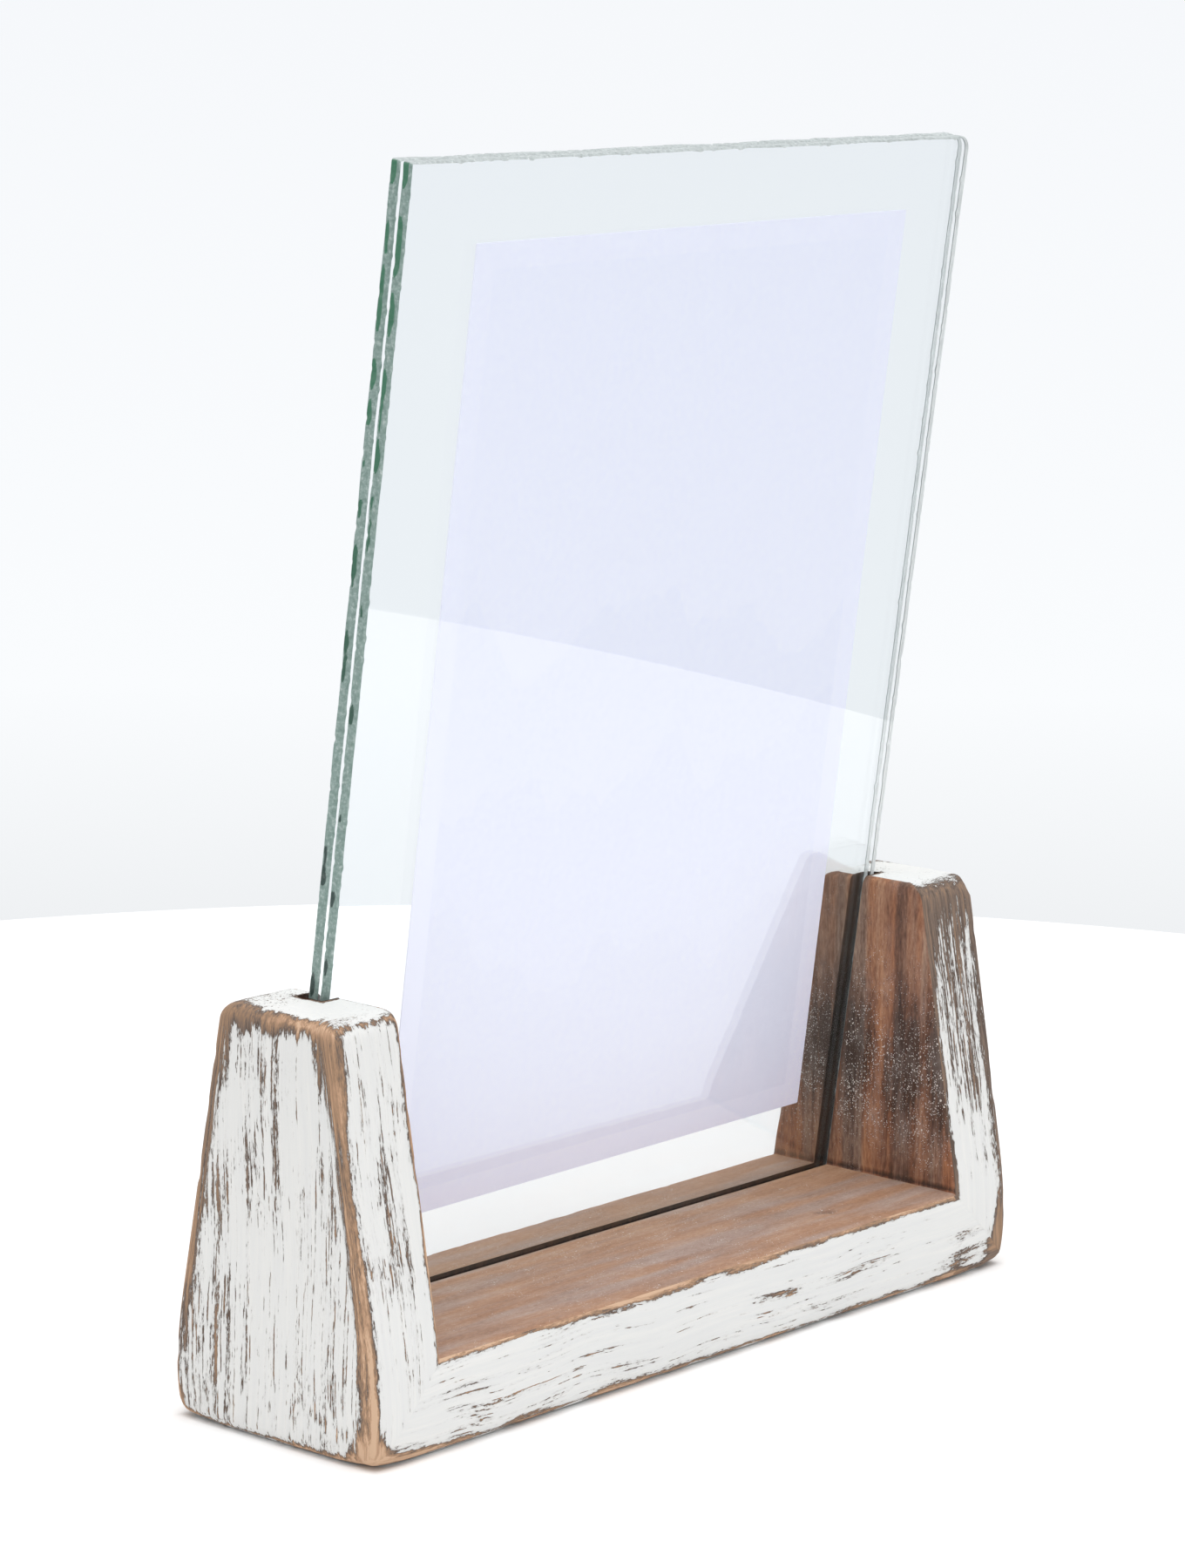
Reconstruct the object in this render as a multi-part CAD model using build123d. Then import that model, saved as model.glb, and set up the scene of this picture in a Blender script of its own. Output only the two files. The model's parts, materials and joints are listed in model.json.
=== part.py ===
from build123d import *
import math
import os

# Wooden holder for a print between two panes of glass.
# Millimetres, +Z up, origin at the centre of the footprint, on the table.
# -Y is the front, where the print faces. The panes lean back towards +Y.

# Wooden base
upright_height = 65.0
upright_thickness = 14.6
rail_height = 14.6
foot_depth = 42.6
top_depth = 23.2
knee_height = 11.5
knee_reach = 8.5

# Worn roundings of the base
foot_radius = 2.5
crown_radius = 3.5
outer_arris_radius = 2.2
inner_arris_radius = 1.0

# Slot that the panes stand in, measured where it meets the top of the rail
slot_setback = 9.0
slot_lean_degrees = 7.3
slot_depth = 6.0
slot_clearance = 0.25
slot_side_play = 1.0

# Panes of glass, seated near the left end of the slot
pane_width = 130.0
pane_height = 180.0
pane_thickness = 1.8
pane_grip = 3.0
pane_arris = 0.3
pane_spacing = 0.5
pane_seat_gap = 0.1
pane_end_gap = 0.5

# Print, placed by hand between the panes
print_width = 100.0
print_height = 150.0
print_thickness = 0.2
print_lift = 12.1
print_shift = -2.75
print_turn_degrees = 0.5

# Dowels across the mitres, both behind the slot
dowel_diameter = 5.0
dowel_length = 16.0
dowel_setback = 8.0
dowel_spacing = 12.0
dowel_centre = 7.0
dowel_glue_gap = 0.05
dowel_end_gap = 0.5

# Sizes that follow
inner_x = pane_width / 2 - pane_grip
outer_x = inner_x + upright_thickness
taper = math.atan2((foot_depth - top_depth) / 2, upright_height - knee_height)
knee_radius = knee_reach / math.tan(taper / 2)
stack_thickness = 2 * pane_thickness + pane_spacing
slot_width = stack_thickness + 2 * slot_clearance
pane_shift = pane_end_gap - slot_side_play
slot_frame = Plane(
    origin=(0, -slot_setback, rail_height),
    x_dir=(1, 0, 0),
    z_dir=(0, math.sin(math.radians(slot_lean_degrees)), math.cos(math.radians(slot_lean_degrees))),
)
mitre_run = math.hypot(upright_thickness, rail_height)


def side_profile():
    """Outline of the base seen from its end: upright foot, long taper, rounded crown."""
    foot = foot_depth / 2
    top = top_depth / 2
    corners = [
        (-foot, 0),
        (-foot, knee_height),
        (-top, upright_height),
        (top, upright_height),
        (foot, knee_height),
        (foot, 0),
    ]
    radii = [foot_radius, knee_radius, crown_radius, crown_radius, knee_radius, foot_radius]
    return make_face(Plane.YZ * FilletPolyline(*corners, radius=radii, close=True))


def shaped_block():
    """Solid block with the side profile, its edges worn round at both end faces."""
    block = extrude(side_profile(), outer_x, both=True)
    end_faces = block.faces().filter_by(Axis.X)
    return fillet(end_faces.edges(), outer_arris_radius)


def front_prism(corners):
    """Prism with a front-view outline, deep enough to reach through the base."""
    return extrude(make_face(Plane.XZ * Polyline(*corners, close=True)), foot_depth, both=True)


def slot_cut():
    """Leaning slot, closed at the bottom and the sides, open at the top."""
    reach = 2 * upright_height
    width = pane_width + 2 * slot_side_play
    return slot_frame * Pos(0, 0, -slot_depth) * Box(
        width, slot_width, reach, align=(Align.CENTER, Align.CENTER, Align.MIN)
    )


def dowel_frames(side):
    """Places of the dowels of one mitre, square to the mitre's face."""
    along = dowel_setback / mitre_run
    x = side * (inner_x + along * upright_thickness)
    z = rail_height * (1 - along)
    across = (side * rail_height, 0, upright_thickness)
    ends = (dowel_centre - dowel_spacing / 2, dowel_centre + dowel_spacing / 2)
    return [Plane(origin=(x, y, z), x_dir=(0, 1, 0), z_dir=across) for y in ends]


def dowel_holes(side):
    radius = dowel_diameter / 2 + dowel_glue_gap
    length = dowel_length + 2 * dowel_end_gap
    return [frame * Cylinder(radius, length) for frame in dowel_frames(side)]


def base_rail():
    """Bottom board, cut to the mitre at both ends."""
    outline = [(-outer_x, 0), (outer_x, 0), (inner_x, rail_height), (-inner_x, rail_height)]
    rail = shaped_block() & front_prism(outline)
    top_edges = rail.faces().sort_by(Axis.Z)[-1].edges().filter_by(Axis.X)
    rail = fillet(top_edges, inner_arris_radius)
    return rail - slot_cut() - dowel_holes(-1) - dowel_holes(1)


def upright(side):
    """Side board, from its mitred foot to its rounded top. Side is -1 on the left and 1 on the right."""
    outline = [
        (side * outer_x, 0),
        (side * outer_x, upright_height),
        (side * inner_x, upright_height),
        (side * inner_x, rail_height),
    ]
    board = shaped_block() & front_prism(outline)
    inner_face = board.faces().filter_by(Axis.X).sort_by(Axis.X)[0 if side > 0 else -1]
    foot_edge = inner_face.edges().sort_by(Axis.Z)[0]
    inner_edges = [edge for edge in inner_face.edges() if edge != foot_edge]
    board = fillet(inner_edges, inner_arris_radius)
    return board - slot_cut() - dowel_holes(side)


def pane(side):
    """Pane with lightly ground edges. Side is -1 for the front pane and 1 for the rear one."""
    middle = side * (pane_spacing + pane_thickness) / 2
    glass = Box(pane_width, pane_thickness, pane_height, align=(Align.CENTER, Align.CENTER, Align.MIN))
    glass = chamfer(glass.edges(), pane_arris)
    return slot_frame * Pos(pane_shift, middle, pane_seat_gap - slot_depth) * glass


def photo_print():
    """Thin sheet between the panes, a little off centre and a little turned."""
    centre = Pos(print_shift, 0, print_lift + print_height / 2)
    return slot_frame * centre * Rot(0, print_turn_degrees, 0) * Box(print_width, print_thickness, print_height)


def mitre_dowels():
    pins = [
        frame * Cylinder(dowel_diameter / 2, dowel_length)
        for side in (-1, 1)
        for frame in dowel_frames(side)
    ]
    return Compound(children=pins)


nodes = {
    "base_rail": base_rail(),
    "left_upright": upright(-1),
    "right_upright": upright(1),
    "front_glass": pane(-1),
    "rear_glass": pane(1),
    "photo_print": photo_print(),
    "mitre_dowels": mitre_dowels(),
}

os.makedirs("parts", exist_ok=True)
for name, shape in nodes.items():
    export_step(shape, f"parts/{name}.step")
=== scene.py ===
import json
import math
from functools import partial
import bmesh
import bpy
import numpy as np
from mathutils import Matrix, Vector


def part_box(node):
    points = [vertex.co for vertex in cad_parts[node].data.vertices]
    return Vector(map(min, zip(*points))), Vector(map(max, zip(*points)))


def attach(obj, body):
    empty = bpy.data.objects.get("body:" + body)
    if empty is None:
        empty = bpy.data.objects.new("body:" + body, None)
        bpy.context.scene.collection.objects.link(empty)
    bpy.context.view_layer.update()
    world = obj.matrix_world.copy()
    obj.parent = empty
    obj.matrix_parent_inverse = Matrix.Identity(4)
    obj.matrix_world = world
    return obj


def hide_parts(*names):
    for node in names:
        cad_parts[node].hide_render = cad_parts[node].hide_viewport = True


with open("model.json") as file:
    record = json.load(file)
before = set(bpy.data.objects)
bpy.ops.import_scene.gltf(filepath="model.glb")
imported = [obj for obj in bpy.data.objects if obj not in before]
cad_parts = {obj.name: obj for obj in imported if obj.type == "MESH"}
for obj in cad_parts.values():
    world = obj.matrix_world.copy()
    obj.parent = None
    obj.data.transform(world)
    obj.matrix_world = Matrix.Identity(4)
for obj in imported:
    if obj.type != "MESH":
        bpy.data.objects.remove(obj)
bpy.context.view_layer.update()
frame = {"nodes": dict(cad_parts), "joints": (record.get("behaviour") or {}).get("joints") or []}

# A worn white wooden base holds two leaning panes of glass with a paper print between them.
# Metres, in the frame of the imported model: +Z up, -Y the front where the print faces.
MM = 0.001

# Sizes of the wooden base, read from the frame or repeated from the model's own values
rail_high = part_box("base_rail")[1]
board_low, board_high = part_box("right_upright")
inner_x, outer_x = board_low.x, board_high.x
upright_height = board_high.z
rail_height = rail_high.z
foot_half = rail_high.y
top_half = 11.6 * MM
knee_height = 11.5 * MM
knee_reach = 8.5 * MM
foot_radius = 2.5 * MM
crown_radius = 3.5 * MM
outer_arris = 2.2 * MM
inner_arris = 1.0 * MM
slot_setback = 9.0 * MM
slot_depth = 6.0 * MM
slot_width = 4.6 * MM
slot_half_length = 66.0 * MM
taper = math.atan2(foot_half - top_half, upright_height - knee_height)
knee_radius = knee_reach / math.tan(taper / 2)
knee_start = knee_height - knee_reach

# The panes stand along the lift direction, and face along the pane normal
lift = Vector(frame["joints"][0]["axis"])
pane_normal = Vector((0, lift.z, -lift.y))
slot_origin = Vector((0, -slot_setback, rail_height))

# Roundings of the panes' corners from the low right one on, and how deep the cutter went: broad bites, which
# go in twice as far at most, and small nibbles
pane_corners = (0.5 * MM, 0.5 * MM, 2.4 * MM, 0.5 * MM)
bite_depth = 0.07 * MM
nibble_depth = 0.25 * MM

# Shares of the glass, counted from its front: the ground arris, the middle of the score, half the width of
# its widest window, and that window's soft rim
arris_share = 0.17
score_share = 0.38
window_share = 0.44
window_rim_share = 0.08

# The print: its turn in degrees, its corners, and the white border round the picture
print_turn = 0.5
print_corner = 0.2 * MM
print_border = 4 * MM

# Ridges in the picture from the farthest on: height of the crest over the middle, and colour.
# Then the length of their humps, how far these rise or fall, and how far down the mist thickens
ridges = ((12 * MM, "A9B5BD"), (-12 * MM, "8496A0"), (-38 * MM, "5F7480"))
hump_length = 34 * MM
hump_height = 14 * MM
mist_depth = 45 * MM

# How deep wear goes: waviness of the faces, rubbed arrises, chips in them, dents and low corners
swell_depth = 0.1 * MM
rub_depth = 0.12 * MM
chip_depth = 0.45 * MM
dent_depth = 0.4 * MM
corner_depth = 0.6 * MM

# Places of two small dents side by side in the top of the rail, and their radius
rail_dents = ((-38.2 * MM, 11.1 * MM), (-39.3 * MM, 12.3 * MM))
dent_radius = 1 * MM

# Spacing of the mesh points, and their counts on the inner face, small arc, side, large arc and half of the
# end face of an upright, or on the top, small arc, side, foot arc and half of the bottom of the rail
wood_step = 0.55 * MM
edge_step = 0.3 * MM
print_step = 2 * MM
board_counts = (22, 4, 24, 8, 42)
rail_counts = (30, 4, 22, 8, 14)
crown_count = 12
top_rows = 18
corner_count = 9
ring_count = 180

# Places of the rim's points across a pane, as shares of the glass, closer together on its arrises
rim_shares = np.array([0, 0.06, 0.16, 0.25, 0.34, 0.43, 0.52, 0.61, 0.7, 0.79, 0.88, 0.95, 1])

# Halvings that bring the columns to the mitre, how near to it a point counts as on it, and the angles between
# faces past which an edge is sharp
halvings = 40
mitre_tolerance = 0.01 * MM
wood_crease = math.radians(38)
pane_crease = math.radians(30)


def linear(hex_code):
    """Opaque colour of a sRGB hex code in linear light."""
    srgb = np.array([int(hex_code[i:i + 2], 16) for i in (0, 2, 4)]) / 255
    light = np.where(srgb <= 0.04045, srgb / 12.92, ((srgb + 0.055) / 1.055) ** 2.4)
    return (*light, 1.0)


def node(tree, kind, inputs=None, out=0, stops=None, **settings):
    """Adds a node with its settings and colour stops, links or sets its inputs, and returns one output."""
    made = tree.nodes.new("ShaderNode" + kind)
    for name, value in settings.items():
        setattr(made, name, value)
    if stops:
        elements = made.color_ramp.elements
        for position, _ in stops[len(elements):]:
            elements.new(position)
        for element, (position, hex_code) in zip(elements, stops):
            element.position = position
            element.color = linear(hex_code)
    for key, value in (inputs or {}).items():
        if isinstance(value, bpy.types.NodeSocket):
            tree.links.new(value, made.inputs[key])
        else:
            made.inputs[key].default_value = value
    return made.outputs[out] if made.outputs else made


def new_material(name):
    """Empty material, and the function that adds nodes to it."""
    material = bpy.data.materials.new(name)
    material.use_nodes = True
    material.node_tree.nodes.clear()
    return material, partial(node, material.node_tree)


def waves(points, length, seed):
    """Smooth waviness between about -1 and 1: the sum of plane sine waves of about one length,
    each with its own heading and phase."""
    draw = np.random.default_rng(seed)
    count = 16
    heading = draw.normal(size=(3, count))
    heading *= 2 * np.pi / (np.linalg.norm(heading, axis=0) * length * draw.uniform(0.7, 1.4, count))
    phase = draw.uniform(0, 2 * np.pi, count)
    return np.sin(points @ heading + phase).sum(1) / math.sqrt(2 * count)


def rounding(depth, radius):
    """How far a quarter circle draws a face in, at a depth below the face that it meets."""
    left = np.clip(radius - depth, 0, radius)
    return radius - np.sqrt(radius ** 2 - left ** 2)


def half_depth(z):
    """Half depth of the base at a height: plumb foot, knee arc, then the straight taper."""
    knee = foot_half - knee_radius + np.sqrt(np.maximum(knee_radius ** 2 - (z - knee_start) ** 2, 0))
    straight = top_half + (upright_height - z) * math.tan(taper)
    knee_end = knee_start + knee_radius * math.sin(taper)
    return np.where(z < knee_start, foot_half, np.where(z < knee_end, knee, straight))


def worn_half_depth(z):
    """Half depth with the foot rounded off below and the crown rounded off above."""
    crown_z = upright_height - crown_radius
    tangent_z = crown_z + crown_radius * math.sin(taper)
    crown_y = half_depth(tangent_z) - crown_radius * math.cos(taper)
    crown = crown_y + np.sqrt(np.maximum(crown_radius ** 2 - (z - crown_z) ** 2, 0))
    return np.where(z > tangent_z, crown, half_depth(z) - rounding(z, foot_radius))


def slot_edge(z, sign):
    """How far back the slot's back edge lies at a height, or how far forward its front edge."""
    middle = slot_origin.y + (z - rail_height) * lift.y / lift.z
    return sign * middle + slot_width / 2 / lift.z


def shares(count, end=False):
    """Even shares from 0 towards 1, with the end only if asked for."""
    return np.linspace(0, 1, count + 1)[:count + end]


def board_columns(z, sign):
    """Section of an upright at heights z, from the slot's edge round to the middle of the end face.

    In order: the inner face, a small arc, the side face, a larger arc and half of the end face. Gives the
    distance out from the inner face and the distance from the middle plane.
    """
    low = rounding(upright_height - z, inner_arris)
    draw = rounding(upright_height - z, outer_arris) + rounding(z, outer_arris)
    high = outer_x - inner_x - draw
    arris = outer_arris - 0.5 * draw
    depth = worn_half_depth(z)
    cuts = np.cumsum(board_counts)[:-1]
    low, high, arris, depth, edge = (
        np.split(part, cuts, 1) for part in (low, high, arris, depth, slot_edge(z, sign)))
    turn = np.pi / 2 * shares(board_counts[1])
    bend = np.pi / 2 * shares(board_counts[3])
    run = shares(board_counts[2])
    out = [
        low[0],
        low[1] + inner_arris * (1 - np.cos(turn)),
        (low[2] + inner_arris) * (1 - run) + (high[2] - arris[2]) * run,
        high[3] - arris[3] * (1 - np.sin(bend)),
        high[4],
    ]
    run = shares(board_counts[0])
    aside = [
        edge[0] * (1 - run) + (depth[0] - inner_arris) * run,
        depth[1] - inner_arris * (1 - np.sin(turn)),
        depth[2],
        depth[3] - arris[3] * (1 - np.cos(bend)),
        (depth[4] - arris[4]) * (1 - shares(board_counts[4] - 1, end=True)),
    ]
    return np.concatenate(out, 1), np.concatenate(aside, 1)


def board_slot_columns(z, sign):
    """Section of the slot in an upright, from its edge in to the middle of its end."""
    wall = sum(board_counts[:3]) + board_counts[3] // 2
    low = rounding(upright_height - z, inner_arris)
    reach = slot_half_length - inner_x
    run = np.concatenate([shares(wall), np.ones(sum(board_counts) - wall)])
    across = np.concatenate([np.zeros(wall), shares(sum(board_counts) - wall - 1, end=True)])
    return low + (reach - low) * run, slot_edge(z, sign) - slot_width / 2 / lift.z * across


def board_quarter(columns, sign):
    """Points of a quarter of an upright: its columns rise from the mitre plane to the top.

    The foot of a column lies where the mitre plane meets the section, found by repeated halving of the miss.
    """
    drop = rail_height / (outer_x - inner_x)
    foot = np.zeros((1, sum(board_counts)))
    for _ in range(halvings):
        foot = (foot + rail_height - drop * columns(foot, sign)[0]) / 2
    shoulder = upright_height - crown_radius
    rise = shares(int(shoulder / wood_step))[:, None]
    over = np.sin(np.pi / 2 * shares(crown_count, end=True))[:, None]
    crown = np.broadcast_to(shoulder + crown_radius * over, (crown_count + 1, foot.size))
    z = np.concatenate([foot + (shoulder - foot) * rise, crown])
    out, aside = columns(z, sign)
    return np.stack([inner_x + out, sign * aside, z], 2)


def rail_columns(sign):
    """Outline of the rail from the slot's edge to the middle of the bottom, with its normals.

    In order: the top, a small arc, the knee arc, the foot arc and half of the bottom.
    """
    turn = math.asin((rail_height - inner_arris - knee_start) / (knee_radius - inner_arris))
    centre = np.array([foot_half - knee_radius, knee_start])
    small_centre = centre + (knee_radius - inner_arris) * np.array([math.cos(turn), math.sin(turn)])
    foot_centre = np.array([foot_half - foot_radius, foot_radius])
    angles = [
        np.full(rail_counts[0], np.pi / 2),
        np.pi / 2 + (turn - np.pi / 2) * shares(rail_counts[1]),
        turn * (1 - shares(rail_counts[2])),
        -np.pi / 2 * shares(rail_counts[3]),
        np.full(rail_counts[4], -np.pi / 2),
    ]
    normals = [np.stack([np.cos(angle), np.sin(angle)], 1) for angle in angles]
    mouth = np.array([slot_edge(rail_height, sign), rail_height])
    top = small_centre + (0, inner_arris)
    bottom = foot_centre - (0, foot_radius)
    points = [
        mouth + (top - mouth) * shares(rail_counts[0])[:, None],
        small_centre + inner_arris * normals[1],
        centre + knee_radius * normals[2],
        foot_centre + foot_radius * normals[3],
        bottom * (1 - shares(rail_counts[4] - 1, end=True)[:, None] * (1, 0)),
    ]
    return np.concatenate(points), np.concatenate(normals)


def rail_slot_columns(sign):
    """Outline of the slot in the rail, from its edge down to the middle of its floor."""
    wall = sum(rail_counts[:3]) + rail_counts[3] // 2
    floor = sum(rail_counts) - wall
    mouth = np.array([slot_edge(rail_height, sign), rail_height])
    middle = np.array([sign * slot_origin.y, rail_height]) - slot_depth * np.array([sign * lift.y, lift.z])
    corner = middle + slot_width / 2 * np.array([lift.z, -sign * lift.y])
    points = [
        mouth + (corner - mouth) * shares(wall)[:, None],
        corner + (middle - corner) * shares(floor - 1, end=True)[:, None],
    ]
    return np.concatenate(points), np.zeros((wall + floor, 2))


def rail_quarter(columns, sign):
    """Points of a quarter of the rail: its columns run from one mitre plane to the other.

    The end of a column lies where the mitre plane meets the rounded end, found by repeated halving of the
    miss. The columns' points stand closer together near both ends.
    """
    outline, normal = columns(sign)
    run_out = (outer_x - inner_x) / rail_height
    inside = outline[:, 1] * run_out
    for _ in range(halvings):
        drawn = rounding(inside, outer_arris)
        inside = (inside + run_out * (outline[:, 1] - drawn * normal[:, 1])) / 2
    fine = np.sin(np.pi / 2 * np.linspace(-1, 1, int(2 * outer_x / wood_step)))
    even = np.linspace(-1, 1, len(fine))
    x = (0.5 * fine + 0.5 * even)[:, None] * (outer_x - inside)
    drawn = rounding(outer_x - np.abs(x), outer_arris)
    section = outline - drawn[:, :, None] * normal
    return np.stack([x, sign * section[:, :, 0], section[:, :, 1]], 2)


def ring_quads(index):
    """Quads between each ring of points and the next one, closed round."""
    after = np.roll(index, -1, 1)
    return np.stack([index[:-1], after[:-1], after[1:], index[1:]], 2).reshape(-1, 4)


def slotted_block(quarter, outside, slot, bare_columns, cap_rows):
    """Closed block with a slot: rings of columns, and two end caps woven between the outside and the slot.

    A ring goes from the slot's back edge round the outside to its front edge, and back through the slot.
    A cap joins each outside column to its partner in the slot by straight steps. The kinds of face are 0 for
    painted, 1 for the bare columns beside the slot and 2 for the slot.
    """
    back, front = quarter(outside, 1), quarter(outside, -1)
    slot_back, slot_front = quarter(slot, 1), quarter(slot, -1)
    rings = np.concatenate([back, front[:, -2::-1], slot_front[:, 1:], slot_back[:, -2:0:-1]], 1)
    row_count, column_count = rings.shape[:2]
    index = np.arange(row_count * column_count).reshape(row_count, column_count)
    quads = [ring_quads(index)]
    points = [rings.reshape(-1, 3)]
    triangles = []
    path = np.arange(column_count // 2 + 1)
    partner = -path % column_count
    count = index.size
    for ring, steps in zip((0, row_count - 1), cap_rows):
        share = np.linspace(0, 1, steps + 1)[1:-1, None, None]
        woven = rings[ring, path] * (1 - share) + rings[ring, partner] * share
        grid = np.empty((steps + 1, len(path)), int)
        grid[0] = index[ring, path]
        grid[1:-1] = count + np.arange((steps - 1) * len(path)).reshape(steps - 1, len(path))
        grid[-1] = index[ring, partner]
        grid[:, [0, -1]] = grid[0, [0, -1]]
        count += (steps - 1) * len(path)
        points.append(woven.reshape(-1, 3))
        cells = np.stack([grid[:-1, :-1], grid[:-1, 1:], grid[1:, 1:], grid[1:, :-1]], 2)
        quads.append(cells[:, 1:-1].reshape(-1, 4))
        triangles += [cells[:, 0, :3], cells[:, -1, [0, 2, 3]]]
    column_kinds = np.full(column_count, 2)
    column_kinds[path[:-1]] = 0
    column_kinds[:bare_columns] = 1
    column_kinds[len(path) - 1 - bare_columns:len(path) - 1] = 1
    kinds = np.zeros(sum(map(len, quads)) + sum(map(len, triangles)), int)
    kinds[:len(quads[0])] = np.tile(column_kinds, row_count - 1)
    return np.concatenate(points), np.concatenate(quads), np.concatenate(triangles), kinds


def new_piece(name, points, *face_groups):
    """Mesh object at the origin with its faces turned outwards and no loose points."""
    mesh = bpy.data.meshes.new(name)
    mesh.from_pydata(points.tolist(), [], [face for group in face_groups for face in group.tolist()])
    shell = bmesh.new()
    shell.from_mesh(mesh)
    loose = [vertex for vertex in shell.verts if not vertex.link_faces]
    bmesh.ops.delete(shell, geom=loose, context="VERTS")
    bmesh.ops.recalc_face_normals(shell, faces=shell.faces)
    shell.to_mesh(mesh)
    shell.free()
    piece = bpy.data.objects.new(name, mesh)
    bpy.context.scene.collection.objects.link(piece)
    return piece


def vectors(parts, key="co"):
    """The places of a mesh's vertices, or other vectors of its parts, as rows."""
    rows = np.empty(3 * len(parts))
    parts.foreach_get(key, rows)
    return rows.reshape(-1, 3)


def dress(mesh, materials, kinds):
    """Gives a mesh its materials, and each face the one of its kind."""
    for material in materials:
        mesh.materials.append(material)
    mesh.polygons.foreach_set("material_index", kinds)


def store(mesh, name, values):
    """Keeps one number per vertex where a material can read it."""
    mesh.attributes.new(name, "FLOAT", "POINT").data.foreach_set("value", values.astype(np.float32))


def depths(points):
    """How far points lie inside the end faces, the side faces, the top, the bottom and the inner faces, and
    how far outside the slot."""
    x, y, z = points.T
    on_upright = z - rail_height > inner_x - np.abs(x)
    slot_middle = slot_origin.y + (z - rail_height) * lift.y / lift.z
    return {
        "end": outer_x - np.abs(x),
        "side": half_depth(z) - np.abs(y),
        "top": upright_height - z,
        "bottom": z,
        "inner": np.where(on_upright, np.abs(x) - inner_x, rail_height - z),
        "slot": np.maximum(np.abs(y - slot_middle) - slot_width / 2 / lift.z, np.abs(x) - slot_half_length),
    }


def ramp(value, low, high):
    """Straight rise from 0 at the low value to 1 at the high one."""
    return np.clip((value - low) / (high - low), 0, 1)


def band(depth, first, first_width, second, second_width):
    """Wear along an arris: 1 on it, falling to 0 at these widths on the first face and on the second."""
    return np.clip(1 - np.maximum(depth[second] / first_width, depth[first] / second_width), 0, 1)


def arris_wear(points):
    """Wear of the arrises at each point, joined by the cube root of the sum of cubes, so that it rounds off
    the corners.

    It is wider and narrower along them, and wide near the crown and at the low corners. The left upright is
    worn far down below its crown, there also along its inner arrises, and far up from its foot.
    """
    x, y, z = points.T
    depth = depths(points)
    left = x < 0
    vary = 1 + 0.35 * waves(points, 14 * MM, 5)
    widths = {key: np.maximum(value, 0) / vary for key, value in depth.items()}
    low_corner = ramp(z, 12 * MM, 2 * MM) * (y > 0)
    high_corner = ramp(z, 40 * MM, 60 * MM)
    corner_vary = 1 + 0.6 * low_corner + 0.3 * high_corner + 0.2 * ramp(-y, 0, 8 * MM)
    corners = {key: value / corner_vary for key, value in widths.items()}
    along = np.where(left, 24 * MM, 9 * MM)
    above = np.where(left, 11 * MM, 7 * MM)
    foot = np.clip(1 - np.hypot(widths["end"] / along, widths["bottom"] / above), 0, 1)
    bands = [
        band(corners, "end", 4.4 * MM, "side", np.where(left, 6.0 * MM, 2.8 * MM)) * (1 + 0.4 * low_corner),
        band(widths, "end", np.where(left, 6 * MM, 4.6 * MM), "top", 2.2 * MM),
        band(widths, "side", np.where(left, 9 * MM, 3 * MM), "top", 1.6 * MM),
        band(widths, "end", 2.0 * MM, "bottom", 2.0 * MM),
        band(widths, "side", 3.0 * MM, "bottom", 2.2 * MM),
        band(widths, "side", (2 + 2.4 * left * high_corner) * MM, "inner", 1.2 * MM),
        band(widths, "top", 1.4 * MM, "inner", 1.2 * MM),
        band(widths, "top", 1.3 * MM, "slot", 1.5 * MM),
        foot * ramp(depth["side"], 3 * MM, 1 * MM),
    ]
    return np.cbrt(np.sum(np.power(bands, 3), 0))


def paint_age(points):
    """How far the paint has split along the grain, from 0 to about 1.

    The end faces are split all over, but less in their upper half. The right upright is split beside its
    outer arrises, more so higher up, and up the middle of its side faces. The left one has lost much of the
    paint of its side faces, most of all up the middle and under the crown, but kept it at the foot. The rail
    is split along its lower half, less so towards the left. The crowns keep their paint, except at the front
    and the sides of the right one.
    """
    x, y, z = points.T
    depth = depths(points)
    on_end = ramp(depth["end"], 3 * MM, 1 * MM)
    on_side = ramp(depth["side"], 3 * MM, 1 * MM)
    on_left = ramp(-x, inner_x, inner_x + 1 * MM) * on_side
    on_right = ramp(x, inner_x, inner_x + 1 * MM) * on_side
    on_rail = on_side * (np.abs(x) < inner_x)
    beside_arris = ramp(depth["end"], 9 * MM, 3 * MM)
    up_middle = ramp(np.abs(depth["end"] - 8 * MM), 3.5 * MM, 1 * MM)
    wide_middle = ramp(np.abs(depth["end"] - 9 * MM), 5 * MM, 1.5 * MM)
    age = 0.32 + 0.18 * waves(points, 18 * MM, 8)
    age += on_end * (0.29 - 0.27 * ramp(z, 34 * MM, 48 * MM) + 0.06 * ramp(y, 2 * MM, -14 * MM))
    age += on_right * (0.6 * beside_arris * ramp(z, 26 * MM, 50 * MM) - 0.2)
    age += on_right * 0.5 * up_middle * ramp(z, 15 * MM, 24 * MM) * ramp(z, 56 * MM, 44 * MM)
    age += on_left * (0.4 + 0.6 * beside_arris + 0.85 * wide_middle) * ramp(z, 12 * MM, 32 * MM)
    age += on_left * 0.2 * ramp(z, 48 * MM, 60 * MM)
    age -= on_left * 0.5 * ramp(z, 24 * MM, 14 * MM)
    age += on_rail * (0.35 * ramp(z, 9 * MM, 4 * MM) - 0.2 - 0.3 * ramp(-x, 10 * MM, 40 * MM))
    kept_crown = 0.35 - (x > 0) * (0.6 * ramp(-y, 0, 4 * MM) + 0.5 * ramp(depth["side"], 6 * MM, 2 * MM))
    return np.clip(age - kept_crown * ramp(depth["top"], 1 * MM, 0.3 * MM), 0, 1.6)


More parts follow.
